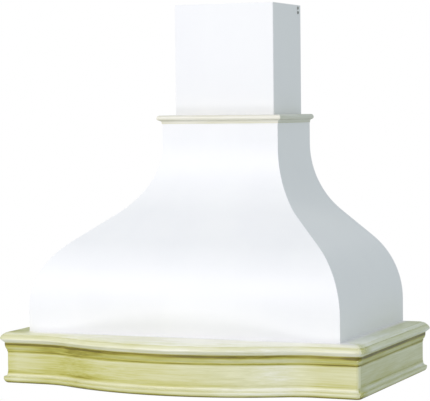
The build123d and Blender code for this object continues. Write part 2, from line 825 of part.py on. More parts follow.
def filter_frame(side):
    """The filter's aluminium frame with its groove, hinge pins and latch pocket."""
    x = side * filter_x
    with BuildPart() as frame:
        with BuildSketch(Plane.XY.offset(pan_recess)):
            with Locations((x, filter_y)):
                RectangleRounded(filter_width, filter_length, filter_corner)
            with Locations((x, mesh_y)):
                opening = (mesh_width - 2 * mesh_tongue, mesh_length - 2 * mesh_tongue)
                Rectangle(*opening, mode=Mode.SUBTRACT)
        extrude(amount=filter_thickness)
        with BuildSketch(Plane.XY.offset(mesh_low - mesh_gap)):
            with Locations((x, mesh_y)):
                Rectangle(mesh_width + 2 * mesh_gap, mesh_length + 2 * mesh_gap)
        extrude(amount=mesh_thickness + 2 * mesh_gap, mode=Mode.SUBTRACT)
        for edge in (-1, 1):
            edge_x = x + edge * filter_width / 2
            pin_plane = Plane(
                origin=(edge_x, hinge_y, hinge_z), x_dir=(0, 1, 0), z_dir=(edge, 0, 0)
            )
            with BuildSketch(pin_plane):
                Circle(hinge_pin_radius)
            extrude(amount=filter_gap + ear_thickness - hinge_gap)
        with BuildSketch(Plane.XY.offset(latch_low - latch_gap)):
            with Locations((x, filter_front_y + latch_wall)):
                room = (latch_width + 2 * latch_gap, latch_room)
                Rectangle(*room, align=(Align.CENTER, Align.MIN))
        extrude(amount=latch_thickness + 2 * latch_gap, mode=Mode.SUBTRACT)
        with BuildSketch(Plane.XY.offset(pan_recess)):
            with Locations((x, finger_y - finger_depth / 2 - latch_gap)):
                window = (finger_width + 2 * latch_gap, finger_depth + latch_travel + 2 * latch_gap)
                Rectangle(*window, align=(Align.CENTER, Align.MIN))
        extrude(amount=latch_height, mode=Mode.SUBTRACT)
        with BuildSketch(Plane.XY.offset(tongue_low - latch_gap)):
            with Locations((x, filter_front_y)):
                Rectangle(tongue_width + 2 * latch_gap, 2 * (latch_wall + latch_gap))
        extrude(amount=tongue_thickness + 2 * latch_gap, mode=Mode.SUBTRACT)
    return frame


def filter_mesh(side):
    """The knitted aluminium core, seated in the frame's groove."""
    with BuildPart() as mesh:
        with BuildSketch(Plane.XY.offset(mesh_low)):
            with Locations((side * filter_x, mesh_y)):
                Rectangle(mesh_width, mesh_length)
        extrude(amount=mesh_thickness)
    return mesh


def filter_latch(side):
    """The sliding latch: plate, tongue and the finger bar that shows below."""
    x = side * filter_x
    with BuildPart() as latch:
        with BuildSketch(Plane.XY.offset(latch_low)):
            with Locations((x, latch_front_y)):
                Rectangle(latch_width, latch_depth, align=(Align.CENTER, Align.MIN))
        extrude(amount=latch_thickness)
        with BuildSketch(Plane.XY.offset(tongue_low)):
            tongue_end = filter_front_y - filter_gap + latch_gap
            with Locations((x, tongue_end)):
                tongue_length = latch_front_y + latch_wall - tongue_end
                Rectangle(tongue_width, tongue_length, align=(Align.CENTER, Align.MIN))
        extrude(amount=tongue_thickness)
        with BuildSketch(Plane.XY.offset(latch_low)):
            with Locations((x, finger_y)):
                RectangleRounded(finger_width, finger_depth, finger_corner)
        extrude(amount=-(latch_height + finger_height))
        chamfer(latch.faces().sort_by(Axis.Z)[0].edges(), finger_chamfer)
    return latch


for name, side in sides.items():
    finish(filter_frame(side), f"filter_frame_{name}")
    finish(filter_mesh(side), f"filter_mesh_{name}")
    finish(filter_latch(side), f"filter_latch_{name}")

# ---------------------------------------------------------------- lamps
sleeve_radius = lamp_hole_radius - lamp_gap
glass_radius = sleeve_radius - bezel_wall - lamp_gap
glass_low = pan_recess - bezel_thickness + bezel_lip


def lamp_piece(side, section):
    """A round piece of a lamp from its half section, drawn as radius and height."""
    origin = (side * lamp_x, -lamp_y, 0)
    with BuildPart() as piece:
        with BuildSketch(Plane(origin=origin, x_dir=(1, 0, 0), z_dir=(0, -1, 0))):
            with BuildLine():
                Polyline(*section, close=True)
            make_face()
        revolve(axis=Axis(origin, (0, 0, 1)))
    return piece


bezel_low = pan_recess - bezel_thickness
bezel_section = [
    (glass_radius - glass_overlap, glass_low),
    (glass_radius - glass_overlap + bezel_lip / 2, bezel_low),
    (bezel_radius - bezel_lip, bezel_low),
    (bezel_radius, bezel_low + bezel_lip),
    (bezel_radius, pan_recess),
    (sleeve_radius, pan_recess),
    (sleeve_radius, pan_recess + bezel_sleeve),
    (sleeve_radius - bezel_wall, pan_recess + bezel_sleeve),
    (sleeve_radius - bezel_wall, glass_low),
]
glass_top = glass_low + glass_thickness
glass_section = [(0, glass_low), (glass_radius, glass_low), (glass_radius, glass_top), (0, glass_top)]
holder_top = glass_top + holder_height
holder_section = [
    (0, glass_top),
    (glass_radius, glass_top),
    (glass_radius, glass_top + bezel_sleeve),
    (holder_boss_radius, holder_top),
    (0, holder_top),
]
for name, side in sides.items():
    finish(lamp_piece(side, bezel_section), f"lamp_bezel_{name}")
    finish(lamp_piece(side, glass_section), f"lamp_glass_{name}")
    finish(lamp_piece(side, holder_section), f"lamp_holder_{name}")

# ---------------------------------------------------------------- controls
button_offset = (len(button_names) - 1) / 2
button_low = pan_recess - control_thickness - button_proud
collar_low = pan_recess + button_gap
button_high = collar_low + button_collar + button_stem
switch_low = button_high + button_travel + button_gap


def button_area(grow):
    """A button's plan with its corners cut off, grown by a gap."""
    with BuildSketch() as area:
        Rectangle(button_length + 2 * grow, button_width + 2 * grow)
        chamfer(area.vertices(), button_corner)
    return area.sketch


button_hole = button_area(button_gap)
button_plan = button_area(0)
with BuildPart() as control_strip:
    with BuildSketch(Plane.XY.offset(pan_recess - control_thickness)):
        with Locations((0, -control_y)):
            RectangleRounded(control_length, control_width, control_corner)
            with GridLocations(button_pitch, 1, len(button_names), 1):
                add(button_hole, mode=Mode.SUBTRACT)
    extrude(amount=control_thickness)
    chamfer(control_strip.faces().sort_by(Axis.Z)[0].outer_wire().edges(), control_chamfer)
finish(control_strip, "control_strip")

for place, name in enumerate(button_names):
    x = (place - button_offset) * button_pitch
    with BuildPart() as button:
        with BuildSketch(Plane.XY.offset(button_low)):
            with Locations((x, -control_y)):
                add(button_plan)
        extrude(amount=button_high - button_low)
        with BuildSketch(Plane.XY.offset(collar_low)):
            with Locations((x, -control_y)):
                Rectangle(button_length + 2 * button_shoulder, button_width + 2 * button_shoulder)
        extrude(amount=button_collar)
        chamfer(button.faces().sort_by(Axis.Z)[0].edges(), button_chamfer)
    finish(button, name)

with BuildPart() as switch_block:
    block_length = control_hole_length + 2 * switch_block_foot
    with BuildSketch(Plane.XY.offset(switch_low)):
        with Locations((0, -control_y)):
            Rectangle(block_length, control_width)
    extrude(amount=switch_block_height)
    with BuildSketch(Plane.XY.offset(pan_top)):
        with Locations((0, -control_y)):
            Rectangle(block_length, control_width)
            Rectangle(control_hole_length, control_width, mode=Mode.SUBTRACT)
    extrude(amount=switch_low - pan_top)
finish(switch_block, "switch_block")


# ---------------------------------------------------------------- blower housing
def scroll_area(outset):
    """The scroll and its outlet throat seen along the shaft, about the shaft."""
    step = scroll_step / 2
    start_radius = scroll_start_radius + outset
    nose_z = scroll_start_radius - step + cutoff_radius
    front = outlet_front_y + fan_y - outset
    rear = outlet_rear_y + fan_y + outset
    with BuildSketch() as area:
        with BuildLine():
            CenterArc((-step, nose_z), cutoff_radius - outset, 0, -90)
            CenterArc((-step, -step), start_radius, 90, 90)
            CenterArc((step, -step), start_radius + scroll_step, 180, 90)
            CenterArc((step, step), start_radius + 2 * scroll_step, 270, 90)
            Polyline((rear, step), (rear, throat_height), (front, throat_height), (front, nose_z))
        make_face()
    return area.sketch


scroll_outer = scroll_area(scroll_sheet)
scroll_inner = scroll_area(0)
with BuildPart() as blower_scroll:
    with BuildSketch(fan_plane):
        add(scroll_outer)
        add(scroll_inner, mode=Mode.SUBTRACT)
    extrude(amount=housing_half, both=True)
finish(blower_scroll, "blower_scroll")

for name, side in sides.items():
    with BuildPart() as blower_side:
        with BuildSketch(fan_plane.offset(side * housing_half)):
            add(scroll_outer)
            Circle(inlet_radius + inlet_lip, mode=Mode.SUBTRACT)
        extrude(amount=side * scroll_sheet)
        with BuildSketch(Plane(origin=(0, -fan_y, fan_z), x_dir=(0, 0, 1), z_dir=(0, -1, 0))):
            with BuildLine():
                face = -side * (housing_half + scroll_sheet)
                mouth = inlet_radius + inlet_lip
                Polyline(
                    (mouth, face),
                    (inlet_radius, face + side * inlet_lip),
                    (inlet_radius, face + side * (inlet_lip + scroll_sheet)),
                    (mouth, face + side * scroll_sheet),
                    close=True,
                )
            make_face()
        revolve(axis=Axis((0, -fan_y, fan_z), (1, 0, 0)))
    finish(blower_side, f"blower_side_{name}")

with BuildPart() as blower_brackets:
    for side in (-1, 1):
        with BuildSketch(Plane.XY.offset(blower_bracket_top)):
            face_x = side * (housing_half + scroll_sheet)
            with Locations((face_x, -sheet)):
                web = (Align.MIN if side > 0 else Align.MAX, Align.MAX)
                Rectangle(sheet, -outlet_y, align=web)
                Rectangle(bracket_foot, sheet, align=web)
        extrude(amount=-blower_bracket_height)
finish(blower_brackets, "blower_brackets")


# ---------------------------------------------------------------- fan wheel, shaft and motor
def blade():
    """One forward-curved blade's section, from the wheel's inner edge to its rim."""
    inner = wheel_radius - blade_depth
    rim = sqrt(wheel_radius**2 - blade_lead**2)
    with BuildSketch() as section:
        with BuildLine():
            RadiusArc((inner, 0), (rim, blade_lead), blade_radius)
            offset(amount=blade_thickness, side=Side.LEFT)
        make_face()
    return section.sketch


blade_section = blade()
ring_face = wheel_width / 2 - ring_thickness
with BuildPart() as wheel_blades:
    for side in (-1, 1):
        with BuildSketch(fan_plane.offset(side * wheel_disc / 2)):
            with PolarLocations(0, blade_count):
                add(blade_section)
        extrude(amount=side * (ring_face - wheel_disc / 2))
finish(wheel_blades, "wheel_blades")

with BuildPart() as wheel_rings:
    for side in (-1, 1):
        with BuildSketch(fan_plane.offset(side * ring_face)):
            Circle(wheel_radius + ring_rim)
            Circle(wheel_radius - blade_depth, mode=Mode.SUBTRACT)
        extrude(amount=side * ring_thickness)
finish(wheel_rings, "wheel_rings")

with BuildPart() as wheel_hub:
    with BuildSketch(fan_plane.offset(-wheel_disc / 2)):
        Circle(wheel_radius)
        Circle(shaft_radius, mode=Mode.SUBTRACT)
    extrude(amount=wheel_disc)
    with BuildSketch(fan_plane.offset(-hub_length)):
        Circle(hub_radius)
        Circle(shaft_radius, mode=Mode.SUBTRACT)
    extrude(amount=hub_length)
finish(wheel_hub, "wheel_hub")

with BuildPart() as motor_shaft:
    with BuildSketch(fan_plane.offset(-hub_length - shaft_stub)):
        Circle(shaft_radius)
    extrude(amount=shaft_stub + hub_length + motor_start + shaft_reach)
finish(motor_shaft, "motor_shaft")

with BuildPart() as fan_motor:
    with BuildSketch(fan_plane.offset(motor_start)):
        Circle(motor_bell_radius)
    extrude(amount=motor_length)
    with BuildSketch(fan_plane.offset(motor_start + motor_bell)):
        Circle(motor_radius)
        with PolarLocations(motor_radius, motor_slots):
            Rectangle(2 * motor_slot_depth, 2 * motor_slot_depth, mode=Mode.SUBTRACT)
    extrude(amount=motor_length - 2 * motor_bell)
    with BuildSketch(fan_plane.offset(motor_start + motor_length)):
        Circle(motor_boss_radius)
    extrude(amount=housing_half + scroll_sheet - motor_start - motor_length)
    with BuildSketch(fan_plane.offset(motor_start)):
        Circle(shaft_radius + shaft_gap)
    extrude(amount=shaft_reach + shaft_gap, mode=Mode.SUBTRACT)
finish(fan_motor, "fan_motor")

with BuildPart() as motor_spider:
    arm_reach = inlet_radius + inlet_lip + spider_overlap
    with BuildSketch(fan_plane.offset(housing_half + scroll_sheet)):
        Circle(motor_boss_radius + spider_overlap)
        with PolarLocations(arm_reach / 2, spider_arms):
            Rectangle(arm_reach, spider_arm_width)
    extrude(amount=2 * scroll_sheet)
finish(motor_spider, "motor_spider")

# ---------------------------------------------------------------- outlet and non-return flaps
spigot_bore = spigot_radius - spigot_wall
with BuildPart() as outlet_spigot:
    with BuildSketch(Plane.XY.offset(throat_top)):
        with Locations((0, outlet_y)):
            flange_depth = outlet_rear_y - outlet_front_y + 2 * scroll_sheet
            Rectangle(housing_width + 2 * scroll_sheet, flange_depth)
            Circle(spigot_bore, mode=Mode.SUBTRACT)
    extrude(amount=spigot_flange)
    with BuildSketch(Plane.XY.offset(throat_top)):
        with Locations((0, outlet_y)):
            Circle(spigot_radius)
            Circle(spigot_bore, mode=Mode.SUBTRACT)
    extrude(amount=spigot_flange + spigot_length)
finish(outlet_spigot, "outlet_spigot")

for name, direction in ends.items():
    with BuildPart() as flap:
        with BuildSketch(Plane.XY.offset(flap_z - flap_thickness / 2)):
            with Locations((0, outlet_y)):
                Circle(spigot_bore - flap_gap)
            with Locations((0, outlet_y + direction * flap_clear)):
                keep = (Align.CENTER, Align.MIN if direction > 0 else Align.MAX)
                Rectangle(far, far, align=keep, mode=Mode.INTERSECT)
            for side in (-1, 1):
                with Locations((side * knuckle_places[name], outlet_y)):
                    Rectangle(knuckle_length, 2 * flap_clear, align=keep)
        extrude(amount=flap_thickness)
        for side in (-1, 1):
            x = side * knuckle_places[name]
            with BuildSketch(Plane(origin=(x, outlet_y, flap_z), x_dir=(0, 1, 0), z_dir=(1, 0, 0))):
                Circle(knuckle_radius)
            extrude(amount=knuckle_length / 2, both=True)
        with BuildSketch(Plane(origin=(0, outlet_y, flap_z), x_dir=(0, 1, 0), z_dir=(1, 0, 0))):
            Circle(flap_pin_radius + knuckle_gap)
        extrude(amount=spigot_radius, both=True, mode=Mode.SUBTRACT)
    finish(flap, f"flap_{name}")

with BuildPart() as flap_pin:
    with BuildSketch(Plane(origin=(0, outlet_y, flap_z), x_dir=(0, 1, 0), z_dir=(1, 0, 0))):
        Circle(flap_pin_radius)
    extrude(amount=spigot_bore - flap_pin_gap, both=True)
finish(flap_pin, "flap_pin")

# ---------------------------------------------------------------- electrics
with BuildPart() as terminal_box:
    with BuildSketch(Plane.XZ.offset(sheet)):
        with Locations((terminal_box_x, terminal_box_z)):
            RectangleRounded(terminal_box_width, terminal_box_height, terminal_box_corner)
    extrude(amount=terminal_box_depth)
    chamfer(terminal_box.faces().sort_by(Axis.Y)[0].edges(), terminal_box_edge)
finish(terminal_box, "terminal_box")

with BuildPart() as cable_gland:
    gland_z = terminal_box_z + terminal_box_height / 2
    gland_plane = Plane.XY.offset(gland_z)
    with BuildSketch(gland_plane):
        with Locations((terminal_box_x, -sheet - terminal_box_depth / 2)):
            RegularPolygon(gland_radius, 6)
            Circle(gland_bore, mode=Mode.SUBTRACT)
    extrude(amount=gland_height)
finish(cable_gland, "cable_gland")
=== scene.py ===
"""Wall range hood cover with a glazed wooden frame, dressed on its CAD frame."""

from math import cos, pi, radians, sin

import bmesh
import bpy
from mathutils import Matrix, Vector


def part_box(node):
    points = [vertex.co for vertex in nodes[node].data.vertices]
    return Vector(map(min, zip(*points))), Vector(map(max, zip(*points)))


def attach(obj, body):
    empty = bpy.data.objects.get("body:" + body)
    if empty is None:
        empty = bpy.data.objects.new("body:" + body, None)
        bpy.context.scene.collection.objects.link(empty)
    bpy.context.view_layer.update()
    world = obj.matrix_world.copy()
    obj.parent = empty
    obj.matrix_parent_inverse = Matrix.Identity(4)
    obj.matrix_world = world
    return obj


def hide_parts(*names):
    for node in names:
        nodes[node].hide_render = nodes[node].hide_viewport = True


MM = 0.001  # metres in one
NEUTRAL = (1.0, 1.0, 1.0, 1.0)
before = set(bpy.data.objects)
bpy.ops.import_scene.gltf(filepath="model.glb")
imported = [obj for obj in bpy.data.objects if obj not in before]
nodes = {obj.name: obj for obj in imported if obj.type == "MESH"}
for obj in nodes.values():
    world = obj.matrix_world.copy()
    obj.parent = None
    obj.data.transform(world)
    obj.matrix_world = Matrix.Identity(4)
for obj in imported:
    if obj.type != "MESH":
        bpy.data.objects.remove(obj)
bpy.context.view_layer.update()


# ---------------------------------------------------------------- writing materials
def paint(red, green, blue):
    """A colour written as a screen shows it, 0 to 255, in the linear light a shader takes."""
    levels = (red / 255, green / 255, blue / 255)
    return tuple(v / 12.92 if v <= 0.04045 else ((v + 0.055) / 1.055) ** 2.4 for v in levels) + (1.0,)


class Finish:
    """One procedural material: a Principled shader and the nodes that drive it."""

    def __init__(self, name):
        self.material = bpy.data.materials.new(name)
        self.material.use_nodes = True
        self.tree = self.material.node_tree
        self.tree.nodes.clear()
        self.shader = self.node("ShaderNodeBsdfPrincipled")
        self.connect(self.shader.outputs[0], self.node("ShaderNodeOutputMaterial").inputs["Surface"])
        self.place = self.node("ShaderNodeTexCoord").outputs["Object"]
        split = self.node("ShaderNodeSeparateXYZ")
        self.connect(self.place, split.inputs[0])
        self.x, self.y, self.z = split.outputs

    def node(self, kind, **settings):
        """A new shader node with its settings."""
        made = self.tree.nodes.new(kind)
        for key, value in settings.items():
            setattr(made, key, value)
        return made

    def connect(self, value, socket):
        """Link another node's output to the socket, or give the socket a plain value."""
        if isinstance(value, bpy.types.NodeSocket):
            self.tree.links.new(value, socket)
        else:
            socket.default_value = value

    def math(self, operation, first, second=0.0):
        """An operation on numbers or other nodes' outputs; the next two are the commonest."""
        made = self.node("ShaderNodeMath", operation=operation)
        self.connect(first, made.inputs[0])
        self.connect(second, made.inputs[1])
        return made.outputs[0]

    def add(self, first, second):
        return self.math("ADD", first, second)

    def times(self, first, second):
        return self.math("MULTIPLY", first, second)

    def span(self, value, low, high, to_low=0.0, to_high=1.0):
        """The value mapped from low..high to the second pair, smoothly and clamped."""
        made = self.node("ShaderNodeMapRange", interpolation_type="SMOOTHSTEP")
        for socket, number in zip(made.inputs[:5], (value, low, high, to_low, to_high)):
            self.connect(number, socket)
        return made.outputs[0]

    def band(self, value, rise, fall):
        """1 between two edges along the value and 0 past them; each edge is (low, high)."""
        return self.times(self.span(value, *rise), self.span(value, *fall, 1.0, 0.0))

    def stretched(self, x, y, z):
        """The place in metres times a factor for each axis, for textures drawn out along one."""
        made = self.node("ShaderNodeVectorMath", operation="MULTIPLY")
        self.connect(self.place, made.inputs[0])
        made.inputs[1].default_value = (x, y, z)
        return made.outputs[0]

    def noise(self, x, y, z, detail=2.0, roughness=0.5, distortion=0.0):
        """Soft noise from 0 to 1, with this many cycles per metre along each axis."""
        made = self.node("ShaderNodeTexNoise")
        self.connect(self.stretched(x, y, z), made.inputs["Vector"])
        made.inputs["Scale"].default_value = 1.0
        made.inputs["Detail"].default_value = detail
        made.inputs["Roughness"].default_value = roughness
        made.inputs["Distortion"].default_value = distortion
        return made.outputs[0]

    def cells(self, per_metre, output="Color"):
        """Cells of one colour each, or the distance from their middles."""
        made = self.node("ShaderNodeTexVoronoi")
        self.connect(self.place, made.inputs["Vector"])
        made.inputs["Scale"].default_value = per_metre
        return made.outputs[output]

    def ramp(self, value, stops):
        """A colour for each place from 0 to 1 along the value; a stop is (place, colour or grey)."""
        made = self.node("ShaderNodeValToRGB")
        self.connect(value, made.inputs[0])
        elements = made.color_ramp.elements
        while len(elements) < len(stops):
            elements.new(0.5)
        for element, (place, colour) in zip(elements, stops):
            element.position = place
            element.color = colour if isinstance(colour, tuple) else (colour, colour, colour, 1.0)
        return made.outputs[0]

    def mix(self, factor, first, second, blend="MIX"):
        """The first colour at factor 0 and the second, or the two blended, at 1."""
        made = self.node("ShaderNodeMix", data_type="RGBA", blend_type=blend)
        for socket, value in zip((made.inputs[0], made.inputs[6], made.inputs[7]), (factor, first, second)):
            self.connect(value, socket)
        return made.outputs[2]

    def relief(self, height, strength, depth):
        """Bump from a height of 0 to 1 that stands for a depth in metres."""
        made = self.node("ShaderNodeBump")
        made.inputs["Strength"].default_value = strength
        made.inputs["Distance"].default_value = depth
        self.connect(height, made.inputs["Height"])
        self.connect(made.outputs[0], self.shader.inputs["Normal"])

    def set(self, **sockets):
        """Shader inputs by name, with _ for a space."""
        for key, value in sockets.items():
            self.connect(value, self.shader.inputs[key.replace("_", " ")])
        return self.material


# ---------------------------------------------------------------- glazed wood
# Glaze held by the mouldings of the frame, with painted light and shade in it: (height in mm, share
# of glaze). It is thick in the hollow under the thumb and on the lip of the cove, and wiped off the
# rounds. Along the bottom edge it is glaze and painted shade of the bead's turned-down underside. Under
# the thumb, from about 95 to 104 mm, it falls to none, so the palest tint is painted light over the
# shade there.
FRAME_GLAZE_AND_SHADING = (
    (0.0, 0.42), (0.5, 1.00), (2.6, 0.92), (4.8, 0.46), (7.0, 0.28), (10.2, 0.12), (13.6, 0.36),
    (15.0, 0.08), (18.5, 0.06), (21.0, 0.26), (22.8, 0.42), (25.2, 0.48), (28.5, 0.42), (36.0, 0.34),
    (64.0, 0.30), (67.5, 0.20), (70.0, 0.40), (72.2, 0.76), (74.0, 0.84), (76.0, 0.60), (78.0, 0.44),
    (83.0, 0.48), (86.0, 0.66), (88.4, 0.90), (92.4, 0.94), (93.6, 0.60), (94.8, 0.10), (96.0, 0.00),
    (104.0, 0.08), (110.0, 0.18), (112.4, 0.30), (113.8, 0.04),
)
COLLAR_GLAZE = (
    (0.0, 0.20), (1.6, 0.10), (3.0, 0.06), (6.5, 0.06), (8.2, 0.18), (9.4, 0.12), (11.0, 0.08),
    (14.0, 0.04), (19.5, 0.04), (20.0, 0.06),
)
# Painted shade and sheen along the front, carried as a share of glaze, from its left end to its right:
# (mm, share). Most where the serpentine turns left, away from the light, and least where it turns
# right and catches a sheen.
FRONT_SHADE_AND_SHEEN = (
    (-450.0, 0.30), (-405.0, 0.10), (-330.0, 0.26), (-220.0, 0.32), (-100.0, 0.15), (0.0, 0.10),
    (130.0, 0.00), (250.0, -0.15), (340.0, 0.12), (450.0, 0.05),
)
FRONT_REACH = 0.45
LEAST_SHADE_AND_SHEEN = min(share for _, share in FRONT_SHADE_AND_SHEEN)
# What the finish shows from no glaze to a full groove.
FRAME_TINTS = (
    (0.00, paint(249, 247, 230)), (0.10, paint(236, 234, 207)), (0.22, paint(229, 227, 187)),
    (0.34, paint(218, 216, 171)), (0.46, paint(211, 208, 152)), (0.58, paint(200, 197, 122)),
    (0.70, paint(185, 180, 84)), (0.82, paint(161, 152, 52)), (0.92, paint(138, 126, 28)),
    (1.00, paint(110, 99, 12)),
)
COLLAR_TINTS = (
    (0.00, paint(234, 231, 218)), (0.20, paint(224, 220, 198)), (0.50, paint(200, 195, 160)),
    (0.75, paint(168, 160, 114)), (1.00, paint(120, 110, 58)),
)
# The cream under the glaze where it is rubbed off, also a painted highlight on the near corner,
# and its paler end at the foot of the bell.
RUBBED_AND_HIGHLIGHT = paint(255, 248, 204)
FADED = paint(246, 243, 245)
# Painted shade: the blue-grey cast of the faces that look sideways, away from the light.
SIDE_SHADE_TINT = (0.925, 0.955, 0.97, 1.0)

# Edges of the frame's forms by height, in metres: (where one ends, where the next is full).
BASE_END = (0.018, 0.022)
FRIEZE_FOOT = (0.022, 0.026)
FRIEZE_END = (0.070, 0.074)
HOLLOW_FOOT = (0.084, 0.088)
HOLLOW_END = (0.093, 0.097)
UNDERCUT = (0.090, 0.096)
THUMB_FOOT = (0.098, 0.102)
THUMB_FACE = (0.102, 0.106)
SHELF_FLAT = (0.1176, 0.1182)

# Edges in plan, in metres: x from the hood's middle, y from the wall, negative to the front.
CORNER_X, CORNER_Y = (0.4285, 0.4310), (0.4778, 0.4800)
NEAR_CORNER_X, NEAR_CORNER_Y = (0.39, 0.43), (-0.492, -0.440)
LEFT_HALF = (-0.42, -0.02)
LEFT_END = (-0.40, -0.36)
LEFT_OF_MIDDLE = (-0.1, 0.1)
TO_WALL = (-0.46, -0.05)
# The bell's foot: its left end and its front, and its right side.
BELL_LEFT, BELL_FRONT = (-0.39, -0.35), (-0.505, -0.474)
BELL_RIGHT, PAST_BELL = (0.380, 0.383), (0.384, 0.404)

# Shares of held glaze over which a face passes into a groove.
GROOVE = (0.45, 0.75)
DEEP_GROOVE = (0.55, 0.80)
# How much of the near white goes onto the shelf next to the foot of the bell.
FADE = 0.85


def front_glaze_and_shading(wood, amount, held):
    """The front's glaze, painted shade and sheen: the new amount, its corner, the shelf's painted shadow,
    its fade.
    """
    place = wood.add(wood.times(wood.x, 0.5 / FRONT_REACH), 0.5)
    stops = [(0.5 + 0.5 * x * MM / FRONT_REACH, share - LEAST_SHADE_AND_SHEEN) for x, share in FRONT_SHADE_AND_SHEEN]
    # Painted shade and sheen along the front, added to the glaze.
    shade_and_sheen = wood.add(wood.ramp(place, stops), LEAST_SHADE_AND_SHEEN)
    # It tells most on the flat of the frieze, and least above the undercut and in grooves.
    shade_and_sheen = wood.times(shade_and_sheen, wood.span(wood.z, *UNDERCUT, 1.0, 0.25))
    amount = wood.add(amount, wood.times(shade_and_sheen, wood.span(held, *GROOVE, 1.0, 0.2)))
    # The hollow fills with glaze towards the near corner.
    hollow = wood.band(wood.z, HOLLOW_FOOT, HOLLOW_END)
    amount = wood.add(amount, wood.times(hollow, wood.span(wood.x, *NEAR_CORNER_X, 0.0, 0.25)))
    # Painted shade: the thumb is darker towards the left, where the front turns away from the light.
    thumb = wood.span(wood.z, *THUMB_FACE)
    amount = wood.add(amount, wood.times(thumb, wood.span(wood.x, *LEFT_HALF, 0.13, 0.0)))
    corner = wood.span(wood.x, *CORNER_X)
    # Painted shadow of the bell on the shelf at the front's left end.
    shade = wood.span(wood.x, *LEFT_END, 0.35, 0.0)
    fade = wood.times(wood.span(wood.y, *BELL_FRONT, 0.0, FADE), wood.span(wood.x, *BELL_LEFT))
    return amount, corner, shade, fade


def side_glaze_and_shading(wood, amount):
    """The sides' glaze and painted shade: the new amount, their corner, the shelf's painted shadow, its
    fade.
    """
    # Painted shade: the sides are a little darker all over, as they face away from the light.
    amount = wood.add(amount, 0.06)
    # The thumb and the base are darker where they come round the corner.
    thumb, base = wood.span(wood.z, *THUMB_FOOT), wood.span(wood.z, *BASE_END, 1.0, 0.0)
    rounds = wood.math("MAXIMUM", thumb, base)
    amount = wood.add(amount, wood.times(rounds, wood.span(wood.y, *NEAR_CORNER_Y, 0.34, 0.0)))
    corner = wood.span(wood.times(wood.y, -1.0), *CORNER_Y)
    # Painted shadow of the bell on the flat of the shelf: darker towards the wall, lighter at the front,
    # and darker on the left.
    shade = wood.span(wood.y, *TO_WALL, -0.16, 0.24)
    shade = wood.add(shade, wood.span(wood.x, *LEFT_OF_MIDDLE, 0.60, 0.0))
    fade = wood.times(wood.span(wood.x, *BELL_RIGHT), wood.span(wood.x, *PAST_BELL, FADE, 0.0))
    return amount, corner, shade, fade


def glazed_wood(name, run, foot, height, glaze, tints):
    """Cream paint under a brushed glaze, with painted light and shade in it; strokes along the moulding's
    run ("x" or "y").

    The moulding's foot and height are in mm, as the places in its table of held glaze are.
    """
    wood = Finish(name)
    level = wood.times(wood.add(wood.z, -foot * MM), 1 / (height * MM))
    # For the frame this table holds painted light and shade as well as glaze.
    held = wood.ramp(level, [(place / height, share) for place, share in glaze])

    def strokes(length, depth, width, detail):
        """Noise drawn out along the run: cycles per metre along it, into the wood and up."""
        scale = (length, depth, width) if run == "x" else (depth, length, width)
        return wood.noise(*scale, detail=detail, roughness=0.6)

    broad = strokes(5.0, 6.0, 34.0, 3.0)
    brushed = strokes(9.0, 60.0, 330.0, 4.0)
    fine = strokes(24.0, 200.0, 1100.0, 2.0)
    amount = held
    for streak, share in ((broad, 0.09), (brushed, 0.09), (fine, 0.04)):
        amount = wood.add(amount, wood.span(streak, 0.25, 0.75, -share, share))
    if run == "x":
        tone = NEUTRAL
        amount, corner, shade, fade = front_glaze_and_shading(wood, amount, held)
    else:
        # The sides take the painted shade tint.
        tone = SIDE_SHADE_TINT
        amount, corner, shade, fade = side_glaze_and_shading(wood, amount)
    # Only the frame has a shelf. All of the collar is higher than it.
    flat = wood.span(wood.z, *SHELF_FLAT) if foot == 0.0 else 0.0
    # The shelf's painted shadow from the bell, added on its flat.
    amount = wood.add(amount, wood.times(shade, flat))
    # Wiped almost bare on the sharp corner of the frieze, in specks on the mouldings: wear, and also a
    # painted highlight where the corner catches the light.
    specks = wood.span(wood.noise(260.0, 260.0, 200.0, detail=3.0), 0.50, 0.62)
    upright = wood.band(wood.z, FRIEZE_FOOT, FRIEZE_END)
    bare_and_highlight = wood.math("MAXIMUM", wood.times(upright, 0.85), wood.times(specks, 0.5))
    rubbed_and_highlight = wood.times(wood.times(corner, bare_and_highlight), wood.span(held, *DEEP_GROOVE, 1.0, 0.0))
    colour = wood.mix(rubbed_and_highlight, wood.ramp(amount, tints), RUBBED_AND_HIGHLIGHT)
    colour = wood.mix(1.0, colour, tone, "MULTIPLY")
    # The shelf turns near white next to the foot of the bell.
    colour = wood.mix(wood.times(fade, flat), colour, FADED)
    grain = wood.add(wood.times(brushed, 0.6), wood.times(fine, 0.4))
    wood.relief(grain, 0.35, 0.35 * MM)
    return wood.set(
        Base_Color=colour,
        Roughness=wood.span(amount, 0.0, 0.8, 0.34, 0.52),
        Coat_Weight=0.25,
        Coat_Roughness=0.22,
        Specular_IOR_Level=0.5,
    )


FRAME_HEIGHT, COLLAR_HEIGHT = 119.0, 20.0
COLLAR_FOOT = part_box("collar_front")[0][2] / MM
FRAME_WOOD = (0.0, FRAME_HEIGHT, FRAME_GLAZE_AND_SHADING, FRAME_TINTS)
COLLAR_WOOD = (COLLAR_FOOT, COLLAR_HEIGHT, COLLAR_GLAZE, COLLAR_TINTS)
glazed = {
    ("frame", "x"): glazed_wood("cream_wood_front", "x", *FRAME_WOOD),
    ("frame", "y"): glazed_wood("cream_wood_side", "y", *FRAME_WOOD),
    ("collar", "x"): glazed_wood("collar_wood_front", "x", *COLLAR_WOOD),
    ("collar", "y"): glazed_wood("collar_wood_side", "y", *COLLAR_WOOD),
}


